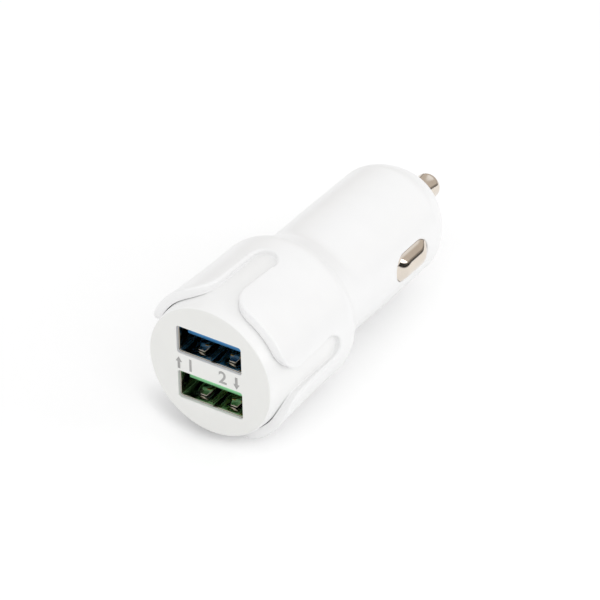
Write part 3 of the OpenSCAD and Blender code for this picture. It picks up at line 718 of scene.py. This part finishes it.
def side_contact(name, side, body, replaced):
    """Pressed sheet contact: pillow, short upright wall, and a flat rim inside the barrel."""
    contact = Surface()
    rings = []
    for inset, crest, order in ((0, SIDE_CREST_X, 1), (SIDE_SHEET, SIDE_CREST_X - SIDE_SHEET, -1)):
        layer = []
        for share in np.concatenate([np.linspace(0, 0.86, 9), [0.92, 0.96, 0.985, 1]]):
            y, z = contact_ring(share, inset)
            layer.append(np.stack([pillow_height(y, z * (SIDE_FIT_W / 2) / (SIDE_FIT_W / 2 - inset), crest),
                                   y, z], axis=-1))
        foot = layer[-1].copy()
        foot[:, 0] = SIDE_RIM_X - (0 if order > 0 else SIDE_SHEET)
        rings.append(layer + [foot] if order > 0 else (layer + [foot])[::-1])
    y, z = contact_ring(1, 0)
    theta = np.arctan2(z, y - WINDOW_Y)
    hit, _ = round_corner_box_hit(np.stack([np.cos(theta), np.sin(theta)]), SIDE_RIM_L / 2, SIDE_RIM_W / 2, 0.6)
    rim = [np.stack([np.full_like(theta, x), WINDOW_Y + hit[0], hit[1]], axis=-1)
           for x in (SIDE_RIM_X, SIDE_RIM_X - SIDE_SHEET)]
    grid = np.array(rings[0] + rim + rings[1])
    grid[..., 0] *= side
    contact.add(grid, closed=True)
    return contact.put(name, "nickel", body, replaced)


TIP_R = 2.3
FLANGE_R = size_of("centre_contact", 1, 0)
TIP_END_Y = size_of("centre_contact", 1, 1)


def centre_contact():
    """Turned centre contact: stem, flange, straight shank and a rounded end, joined by small radii."""
    tip = Surface()
    start = size_of("centre_contact", 0, 1)
    flange_y = NOSE_IN_Y - 1.1
    round_r = 0.55 * TIP_R
    a = np.radians(np.linspace(0, 90, 17))
    crown = np.stack([TIP_R - round_r + round_r * np.cos(a), TIP_END_Y - round_r + round_r * np.sin(a)], axis=1)
    profile = np.concatenate([
        [[0, start], [1.0, start], [1.2, start + 0.2], [1.2, flange_y - 0.1], [1.3, flange_y],
         [FLANGE_R - 0.15, flange_y], [FLANGE_R, flange_y + 0.15], [FLANGE_R, flange_y + 0.85],
         [FLANGE_R - 0.15, flange_y + 1], [TIP_R + 0.1, flange_y + 1], [TIP_R, flange_y + 1.1]],
        crown,
        [[0.02, TIP_END_Y], [0, TIP_END_Y]],
    ])
    turns = np.linspace(0, 2 * math.pi, 97)[:-1]
    tip.add(around(profile[:, :1], profile[:, 1:], turns[None, :]), closed=True)
    return tip.put("tip_contact", "nickel", "tip", "centre_contact")


def coil_spring():
    """Round wire along a helix: five turns, with the first and last half turn lying flat."""
    spring = Surface()
    start, end = size_of("centre_spring", 0, 1) + 0.25, size_of("centre_spring", 1, 1) - 0.25
    coil_r, wire_r = size_of("centre_spring", 1, 0) - 0.25, 0.25
    t = np.linspace(0, 5, 301)
    share = np.clip((t - 0.5) / 4, 0, 1)
    y = start + (end - start) * share
    a = 2 * math.pi * t
    wire = np.radians(np.linspace(0, 360, 15))[:-1]
    radius = coil_r + wire_r * np.cos(wire)[None, :]
    points = np.stack([radius * np.cos(a)[:, None], y[:, None] + wire_r * np.sin(wire)[None, :],
                       radius * np.sin(a)[:, None]], axis=-1)
    ends = [np.broadcast_to(points[k].mean(axis=0), points[k].shape)[None] for k in (0, -1)]
    spring.add(np.concatenate([ends[0], points, ends[1]]), closed=True)
    return spring.put("centre_coil", "spring_steel", "housing", "centre_spring")


MARK_T = 0.02
MARK_H = 2.3
ARROW_W = 1.2
SHAFT_W = 0.5
HEAD_L = 0.95


def add_arrow(surface, x, up):
    """Small upright arrow as a thin plate: a head of three points over a narrow shaft."""
    half, h = ARROW_W / 2, MARK_H / 2
    thin, neck = SHAFT_W / 2, h - HEAD_L
    outline = np.array([[0, h], [half, neck], [thin, neck], [thin, -h],
                        [-thin, -h], [-thin, neck], [-half, neck]]) * [1, 1 if up else -1]
    place = np.stack([x + outline[:, 0], np.full(7, -MARK_T), MARK_Z + outline[:, 1]], axis=-1)
    back = place + [0, 2 * MARK_T, 0]
    middle = place.copy()
    middle[:, 0] = x
    surface.add(np.stack([middle, place, back, middle + [0, 2 * MARK_T, 0]]), closed=True)


MARK_Z = -0.15


def number_mesh(text, x):
    """A plain number as thin print on the face."""
    curve = bpy.data.curves.new("number", "FONT")
    curve.body = text
    curve.size = 3.3 * MM
    curve.extrude = MARK_T * MM
    curve.offset = 0.06 * MM
    curve.align_x = "CENTER"
    curve.align_y = "CENTER"
    obj = bpy.data.objects.new("number", curve)
    bpy.context.scene.collection.objects.link(obj)
    bpy.context.view_layer.update()
    mesh = bpy.data.meshes.new_from_object(obj.evaluated_get(bpy.context.evaluated_depsgraph_get()))
    bpy.data.objects.remove(obj)
    mesh.transform(Matrix.Translation((x * MM, FACE_Y * MM, MARK_Z * MM)) @ Matrix.Rotation(math.pi / 2, 4, "X"))
    return mesh


def face_marks():
    """Arrows and plain numbers printed between the ports."""
    marks = Surface()
    add_arrow(marks, -6.05, True)
    add_arrow(marks, 5.3, False)
    marks.put("port_arrows", "mark_ink", "housing")
    for name, text, x in (("port_number_1", "1", -3.75), ("port_number_2", "2", 2.6)):
        show(name, number_mesh(text, x), "mark_ink", "housing")


def new_material(name, base, roughness, metallic=0.0, specular=0.5):
    """Plain starting point for a finish: one principled shader with its uniform values set."""
    mat = bpy.data.materials.new(name)
    mat.use_nodes = True
    shader = mat.node_tree.nodes["Principled BSDF"]
    shader.inputs["Base Color"].default_value = (*base, 1)
    shader.inputs["Roughness"].default_value = roughness
    shader.inputs["Metallic"].default_value = metallic
    shader.inputs["Specular IOR Level"].default_value = specular
    return mat


def add_node(mat, kind, **values):
    """New node in a material, with the given inputs set."""
    node = mat.node_tree.nodes.new(kind)
    for name, value in values.items():
        node.inputs[name.replace("_", " ")].default_value = value
    return node


def link(mat, out_socket, in_socket):
    mat.node_tree.links.new(out_socket, in_socket)


def stretched_noise(mat, scale, stretch, detail=3.0):
    """Noise on Object coordinates, with its cells stretched along the axes; its height from 0 to 1."""
    place = add_node(mat, "ShaderNodeMapping", Scale=stretch)
    link(mat, add_node(mat, "ShaderNodeTexCoord").outputs["Object"], place.inputs["Vector"])
    noise = add_node(mat, "ShaderNodeTexNoise", Scale=scale, Detail=detail)
    link(mat, place.outputs["Vector"], noise.inputs["Vector"])
    return noise.outputs["Fac"]


def bump_from(mat, height, depth):
    """Surface relief of a depth in metres from a height of 0 to 1."""
    bump = add_node(mat, "ShaderNodeBump", Distance=depth, Strength=1.0)
    link(mat, height, bump.inputs["Height"])
    link(mat, bump.outputs["Normal"], mat.node_tree.nodes["Principled BSDF"].inputs["Normal"])


def spread_over(mat, height, socket, low, high):
    """Lets a number on the shader change from low to high with a height of 0 to 1."""
    spread = add_node(mat, "ShaderNodeMapRange", To_Min=low, To_Max=high)
    link(mat, height, spread.inputs["Value"])
    link(mat, spread.outputs["Result"], mat.node_tree.nodes["Principled BSDF"].inputs[socket])


def tint_over(mat, height, low, high, start=0.3, end=0.7):
    """Lets the base colour change from one to another with a height of 0 to 1."""
    ramp = add_node(mat, "ShaderNodeValToRGB")
    ramp.color_ramp.elements[0].position = start
    ramp.color_ramp.elements[1].position = end
    ramp.color_ramp.elements[0].color = (*low, 1)
    ramp.color_ramp.elements[1].color = (*high, 1)
    link(mat, height, ramp.inputs["Fac"])
    link(mat, ramp.outputs["Color"], mat.node_tree.nodes["Principled BSDF"].inputs["Base Color"])


EVEN = (1, 1, 1)
ALONG = (1, 0.06, 1)


def plastic(name, base, roughness=0.32, spread=0.04, depth=0.000003):
    """Moulded plastic: fine grain in its relief and a slight change of gloss and shade."""
    mat = new_material(name, base, roughness)
    grain = stretched_noise(mat, 2600.0, EVEN)
    bump_from(mat, grain, depth)
    spread_over(mat, grain, "Roughness", roughness - spread, roughness + spread)
    dull = tuple(0.985 * c for c in base)
    tint_over(mat, stretched_noise(mat, 180.0, EVEN, 2.0), dull, base)
    return mat


def painted_shade_front(mat, painted_shade, end_y):
    """Painted shade: multiplies the base colour by a darker shade in front of a place along the plug's axis, so
    that the port face looks less lit than the plug's sides.
    """
    split = add_node(mat, "ShaderNodeSeparateXYZ")
    link(mat, add_node(mat, "ShaderNodeTexCoord").outputs["Object"], split.inputs["Vector"])
    ahead = add_node(mat, "ShaderNodeMapRange", From_Min=end_y, From_Max=end_y + 0.1 * MM, To_Min=1.0, To_Max=0.0)
    link(mat, split.outputs["Y"], ahead.inputs["Value"])
    socket = mat.node_tree.nodes["Principled BSDF"].inputs["Base Color"]
    colour = socket.links[0].from_socket
    # Painted shade: the port face's colour is multiplied by the darker shade
    mix = add_node(mat, "ShaderNodeMix")
    mix.data_type = "RGBA"
    mix.blend_type = "MULTIPLY"
    mix.inputs["B"].default_value = (*painted_shade, 1)
    link(mat, ahead.outputs["Result"], mix.inputs["Factor"])
    link(mat, colour, mix.inputs["A"])
    link(mat, mix.outputs["Result"], socket)
    return mat


def drawn_metal(name, base, roughness, worn=0.85, depth=0.0000015):
    """Sheet or wire with fine draw marks along it, and slightly duller patches."""
    mat = new_material(name, base, roughness, 1.0)
    marks = stretched_noise(mat, 3200.0, ALONG, 4.0)
    bump_from(mat, marks, depth)
    spread_over(mat, marks, "Roughness", roughness * 0.8, roughness * 1.3)
    tint_over(mat, stretched_noise(mat, 420.0, EVEN, 3.0), tuple(worn * c for c in base), base)
    return mat


def speckled(name, low, high, roughness, scale, depth):
    """Pressed or fired powder: small dark and light specks."""
    mat = new_material(name, low, roughness)
    specks = stretched_noise(mat, scale, EVEN, 5.0)
    bump_from(mat, specks, depth)
    tint_over(mat, specks, low, high)
    return mat


def banded(name, low, high, roughness, metallic, pitch, axis, depth):
    """Round bands side by side, such as a winding's turns, at a pitch in metres along an axis; the colour goes from
    low in each band's groove to high on its crown, following the relief, which is painted shade.
    """
    mat = new_material(name, high, roughness, metallic)
    wave = add_node(mat, "ShaderNodeTexWave", Scale=1 / (20 * pitch) * 2 * math.pi, Distortion=0.4)
    wave.bands_direction = axis
    link(mat, add_node(mat, "ShaderNodeTexCoord").outputs["Object"], wave.inputs["Vector"])
    bump_from(mat, wave.outputs["Fac"], depth)
    # Painted shade: the colour is darker in each band's groove, following the relief
    tint_over(mat, wave.outputs["Fac"], low, high)
    return mat


FINISHES = {
    "shell_plastic": plastic("white_shell_plastic", (0.92, 0.92, 0.92)),
    # The insert's port face gets painted shade: its base colour is multiplied darker in front of the face plane
    "insert_plastic": painted_shade_front(plastic("white_insert_plastic", (0.915, 0.915, 0.91)),
                                   (0.915, 0.915, 0.895), FACE_Y * MM + 0.05 * MM),
    "port_steel": drawn_metal("port_steel", (0.6, 0.56, 0.49), 0.1),
    "blue_plastic": plastic("blue_tongue", (0.04, 0.24, 0.54), 0.4),
    "green_plastic": plastic("green_tongue", (0.3, 0.78, 0.38), 0.4),
    "contact_gold": drawn_metal("contact_gold", (0.83, 0.62, 0.26), 0.25),
    "board": speckled("board_lacquer", (0.015, 0.1, 0.04), (0.02, 0.14, 0.055), 0.35, 1500.0, 0.000004),
    "ferrite": speckled("ferrite", (0.02, 0.02, 0.02), (0.07, 0.07, 0.07), 0.6, 4000.0, 0.00001),
    "copper_wire": banded("copper_wire", (0.3, 0.1, 0.04), (0.62, 0.26, 0.11), 0.3, 1.0, 0.00045, "Z", 0.0001),
    "capacitor_can": plastic("can_sleeve", (0.02, 0.03, 0.045), 0.3),
    "chip_black": speckled("chip_black", (0.012, 0.012, 0.012), (0.03, 0.03, 0.03), 0.55, 6000.0, 0.000006),
    "ceramic": speckled("ceramic", (0.27, 0.17, 0.1), (0.4, 0.28, 0.17), 0.45, 3000.0, 0.000005),
    "nickel": drawn_metal("bright_nickel", (0.76, 0.69, 0.61), 0.12, 0.93, 0.0000003),
    "spring_steel": drawn_metal("spring_steel", (0.6, 0.6, 0.6), 0.3),
    "mark_ink": speckled("mark_ink", (0.36, 0.355, 0.35), (0.44, 0.435, 0.43), 0.6, 5000.0, 0.000003),
}


def dress_nodes():
    """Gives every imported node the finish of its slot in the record."""
    for part in frame["record"]["subparts"]:
        obj = frame["nodes"][part["node"]]
        obj.data.materials.clear()
        obj.data.materials.append(FINISHES[part["material_slot"]])


def make_camera():
    """Camera at the photograph's place, turned by azimuth, elevation and a slight roll."""
    data = bpy.data.cameras.new("camera")
    data.lens = CAMERA_LENS
    data.sensor_width = 36.0
    data.clip_start = 0.05
    data.clip_end = 20.0
    cam = bpy.data.objects.new("camera", data)
    bpy.context.scene.collection.objects.link(cam)
    turn = Matrix.Rotation(math.radians(CAMERA_AZIMUTH), 4, "Z")
    tilt = Matrix.Rotation(math.radians(90 - CAMERA_ELEVATION), 4, "X")
    roll = Matrix.Rotation(math.radians(-CAMERA_ROLL), 4, "Z")
    cam.matrix_world = Matrix.Translation(CAMERA_AT) @ turn @ tilt @ roll
    bpy.context.scene.camera = cam


def seen_rays(tree):
    """One where a ray comes from the camera, a mirror or glass, and 0 where it lights a surface."""
    path = tree.nodes.new("ShaderNodeLightPath")
    total = path.outputs["Is Camera Ray"]
    for name in ("Is Glossy Ray", "Is Transmission Ray"):
        larger = tree.nodes.new("ShaderNodeMath")
        larger.operation = "MAXIMUM"
        tree.links.new(total, larger.inputs[0])
        tree.links.new(path.outputs[name], larger.inputs[1])
        total = larger.outputs["Value"]
    return total


GROUND_LEVEL = 0.9
# The ground's seen white is lifted by GROUND_LIFT, and by the smaller LEFT_LIFT on the plug's left, so that the
# shadow there shows darker: painted shade
GROUND_LIFT = 0.19
LEFT_LIFT = 0.14
# A patch of ground beside the face's lower left has a darker colour and no lift: painted shadow; its place, turn
# and size are in metres
PAINTED_SHADOW_LEVEL = 0.83
PAINTED_SHADOW_AT = (-0.0085, -0.0255, -0.0135)
PAINTED_SHADOW_TURN = (0, 0, math.radians(-19.5))
PAINTED_SHADOW_SIZE = (0.013, 0.0051, 0.05)


def floor_material(fade_from, fade_to):
    """White ground: a lifted white takes the plug's soft shadow and turns to plain white farther out. The lift is
    smaller on the plug's left, which is painted shade, and a patch beside the face's lower left is darker and
    unlifted, which is a painted shadow.
    """
    mat = bpy.data.materials.new("white_ground")
    mat.use_nodes = True
    tree = mat.node_tree
    tree.nodes.clear()
    out = tree.nodes.new("ShaderNodeOutputMaterial")
    diffuse = add_node(mat, "ShaderNodeBsdfDiffuse", Color=(GROUND_LEVEL, GROUND_LEVEL, GROUND_LEVEL, 1))
    white = add_node(mat, "ShaderNodeEmission", Color=(1, 1, 1, 1), Strength=1.0)
    length = tree.nodes.new("ShaderNodeVectorMath")
    length.operation = "LENGTH"
    link(mat, add_node(mat, "ShaderNodeTexCoord").outputs["Object"], length.inputs[0])
    fade = add_node(mat, "ShaderNodeMapRange", From_Min=fade_from, From_Max=fade_to)
    link(mat, length.outputs["Value"], fade.inputs["Value"])
    seen = seen_rays(tree)
    share = tree.nodes.new("ShaderNodeMath")
    share.operation = "MULTIPLY"
    link(mat, fade.outputs["Result"], share.inputs[0])
    link(mat, seen, share.inputs[1])
    left = add_node(mat, "ShaderNodeVectorMath")
    left.operation = "DOT_PRODUCT"
    left.inputs[1].default_value = (-0.96, 0.28, 0)
    link(mat, add_node(mat, "ShaderNodeTexCoord").outputs["Object"], left.inputs[0])
    # Painted shade: the lift drops to LEFT_LIFT on the plug's left side
    lift = product(tree, seen, ramp_value(tree, left.outputs["Value"], -0.005, 0.012, GROUND_LIFT, LEFT_LIFT))
    # Painted shadow: an oval patch beside the face's lower left
    patch = add_node(mat, "ShaderNodeMapping", Location=PAINTED_SHADOW_AT, Rotation=PAINTED_SHADOW_TURN, Scale=PAINTED_SHADOW_SIZE)
    patch.vector_type = "TEXTURE"
    link(mat, add_node(mat, "ShaderNodeTexCoord").outputs["Object"], patch.inputs["Vector"])
    off_painted_shadow = tree.nodes.new("ShaderNodeVectorMath")
    off_painted_shadow.operation = "LENGTH"
    link(mat, patch.outputs["Vector"], off_painted_shadow.inputs[0])
    distance = off_painted_shadow.outputs["Value"]
    # Painted shadow: near the patch the lift goes and the ground's colour darkens
    lift = product(tree, lift, ramp_value(tree, distance, 0.2, 1.0, 0.0, 1.0))
    link(mat, ramp_value(tree, distance, 0.2, 1.0, PAINTED_SHADOW_LEVEL, GROUND_LEVEL), diffuse.inputs["Color"])
    glow = add_node(mat, "ShaderNodeEmission", Color=(1, 1, 1, 1))
    link(mat, lift, glow.inputs["Strength"])
    near = tree.nodes.new("ShaderNodeAddShader")
    link(mat, diffuse.outputs["BSDF"], near.inputs[0])
    link(mat, glow.outputs["Emission"], near.inputs[1])
    aside = add_node(mat, "ShaderNodeVectorMath")
    aside.operation = "DOT_PRODUCT"
    aside.inputs[1].default_value = (0.95, -0.3, 0)
    link(mat, add_node(mat, "ShaderNodeTexCoord").outputs["Object"], aside.inputs[0])
    card = ramp_value(tree, aside.outputs["Value"], 0.047, 0.055, 0.0, 1.0)
    path = tree.nodes.new("ShaderNodeLightPath")
    card = product(tree, card, path.outputs["Is Glossy Ray"])
    mix = tree.nodes.new("ShaderNodeMixShader")
    link(mat, share.outputs["Value"], mix.inputs["Fac"])
    link(mat, near.outputs["Shader"], mix.inputs[1])
    link(mat, white.outputs["Emission"], mix.inputs[2])
    black = add_node(mat, "ShaderNodeEmission", Color=(1, 1, 1, 1), Strength=0.03)
    link(mat, mix_by(tree, card, mix.outputs["Shader"], black.outputs["Emission"]), out.inputs["Surface"])
    return mat


def make_floor():
    """Flat ground that leans a little with the line from the petals' corners to the shoulder, where the
    head lies."""
    size = 1.2
    corner_y, head_y = LIP_Y + CORNER_L, FACE_Y + SHOULDER_Y
    low_corner = math.sqrt(float(head_radius(corner_y)) ** 2 - (SLOT_W / 2) ** 2)
    lean = math.atan2(low_corner - HEAD_R, SHOULDER_Y - corner_y)
    corners = np.array([[-size, -size, 0], [size, -size, 0], [size, size, 0], [-size, size, 0]])
    rot = np.array(Matrix.Rotation(lean, 3, "X"))
    middle = np.array([0, head_y, -HEAD_R - 0.03]) * MM
    mesh = bpy.data.meshes.new("ground")
    mesh.from_pydata([tuple(v) for v in corners @ rot.T + middle], [], [(0, 1, 2, 3)])
    mesh.materials.append(floor_material(0.12, 0.3))
    ground = bpy.data.objects.new("ground", mesh)
    bpy.context.scene.collection.objects.link(ground)


def make_lamp(name, place, target, size, power, seen_in_metal=True):
    """Square soft lamp that looks at a point."""
    data = bpy.data.lights.new(name, "AREA")
    data.size = size
    data.energy = power
    lamp = bpy.data.objects.new(name, data)
    bpy.context.scene.collection.objects.link(lamp)
    lamp.visible_glossy = seen_in_metal
    look = Vector(target) - Vector(place)
    lamp.matrix_world = Matrix.Translation(place) @ look.to_track_quat("-Z", "Y").to_matrix().to_4x4()


def ramp_value(tree, value, start, end, low, high):
    """A number that goes smoothly from low to high as the value goes from start to end."""
    ramp = tree.nodes.new("ShaderNodeMapRange")
    ramp.interpolation_type = "SMOOTHSTEP"
    for name, number in (("From Min", start), ("From Max", end), ("To Min", low), ("To Max", high)):
        ramp.inputs[name].default_value = number
    tree.links.new(value, ramp.inputs["Value"])
    return ramp.outputs["Result"]


def product(tree, first, second):
    times = tree.nodes.new("ShaderNodeMath")
    times.operation = "MULTIPLY"
    tree.links.new(first, times.inputs[0])
    tree.links.new(second, times.inputs[1])
    return times.outputs["Value"]


def background(tree, strength, colour=(1, 1, 1)):
    """Background shader whose strength is a number or comes from a node."""
    node = tree.nodes.new("ShaderNodeBackground")
    node.inputs["Color"].default_value = (*colour, 1)
    if isinstance(strength, float):
        node.inputs["Strength"].default_value = strength
    else:
        tree.links.new(strength, node.inputs["Strength"])
    return node.outputs["Background"]


def mix_by(tree, share, first, second):
    mix = tree.nodes.new("ShaderNodeMixShader")
    tree.links.new(share, mix.inputs["Fac"])
    tree.links.new(first, mix.inputs[1])
    tree.links.new(second, mix.inputs[2])
    return mix.outputs["Shader"]


def make_world(front, rear):
    """Soft fill light from all round, weaker from the port face's side than from behind it; metal sees a
    white sky with a dark line above the ground and a dim low part behind the plug."""
    world = bpy.data.worlds.new("studio")
    bpy.context.scene.world = world
    world.use_nodes = True
    tree = world.node_tree
    tree.nodes.clear()
    out = tree.nodes.new("ShaderNodeOutputWorld")
    split = tree.nodes.new("ShaderNodeSeparateXYZ")
    tree.links.new(tree.nodes.new("ShaderNodeTexCoord").outputs["Generated"], split.inputs["Vector"])
    fill = ramp_value(tree, split.outputs["Y"], -0.9, 0.3, front, rear)
    dark = ramp_value(tree, split.outputs["Z"], 0.08, 0.2, 1.0, 0.0)
    depth = ramp_value(tree, split.outputs["Y"], 0.0, 0.7, 0.93, 0.55)
    line = ramp_value(tree, product(tree, dark, depth), 0.0, 1.0, 1.0, 0.0)
    behind = ramp_value(tree, split.outputs["Y"], 0.15, 0.5, 0.0, 1.0)
    low = ramp_value(tree, split.outputs["Z"], 0.5, 0.62, 1.0, 0.0)
    mirrored = mix_by(tree, product(tree, behind, low), background(tree, line),
                      background(tree, line, (0.64, 0.585, 0.53)))
    path = tree.nodes.new("ShaderNodeLightPath")
    sky = mix_by(tree, path.outputs["Is Glossy Ray"], background(tree, fill), mirrored)
    seen = tree.nodes.new("ShaderNodeMath")
    seen.operation = "MAXIMUM"
    tree.links.new(path.outputs["Is Camera Ray"], seen.inputs[0])
    tree.links.new(path.outputs["Is Transmission Ray"], seen.inputs[1])
    shown = mix_by(tree, seen.outputs["Value"], sky, background(tree, 1.0))
    tree.links.new(shown, out.inputs["Surface"])


bpy.context.scene.view_settings.view_transform = "Standard"
make_camera()
make_world(1.02, 0.895)
make_lamp("side_lamp", (0.72, 0.25, 0.25), (0, 0, 0), 0.3, 0.6)
make_lamp("soft_lamp", (0.5, -0.3, 0.55), (0, 0, 0), 0.3, 0.28, seen_in_metal=False)
make_floor()
dress_nodes()
body_shell()
face_insert()
port_steel("port_shell_upper", PORT_Z, "usb_shell_upper")
port_steel("port_shell_lower", -PORT_Z, "usb_shell_lower")
port_tongue("port_tongue_upper", PORT_Z, "blue_plastic", "usb_tongue_upper")
port_tongue("port_tongue_lower", -PORT_Z, "green_plastic", "usb_tongue_lower")
port_pins("port_pins_upper", PORT_Z, "usb_pins_upper")
port_pins("port_pins_lower", -PORT_Z, "usb_pins_lower")
side_contact("earth_contact_right", 1, "right_contact", "side_contact_right")
side_contact("earth_contact_left", -1, "left_contact", "side_contact_left")
centre_contact()
coil_spring()
face_marks()
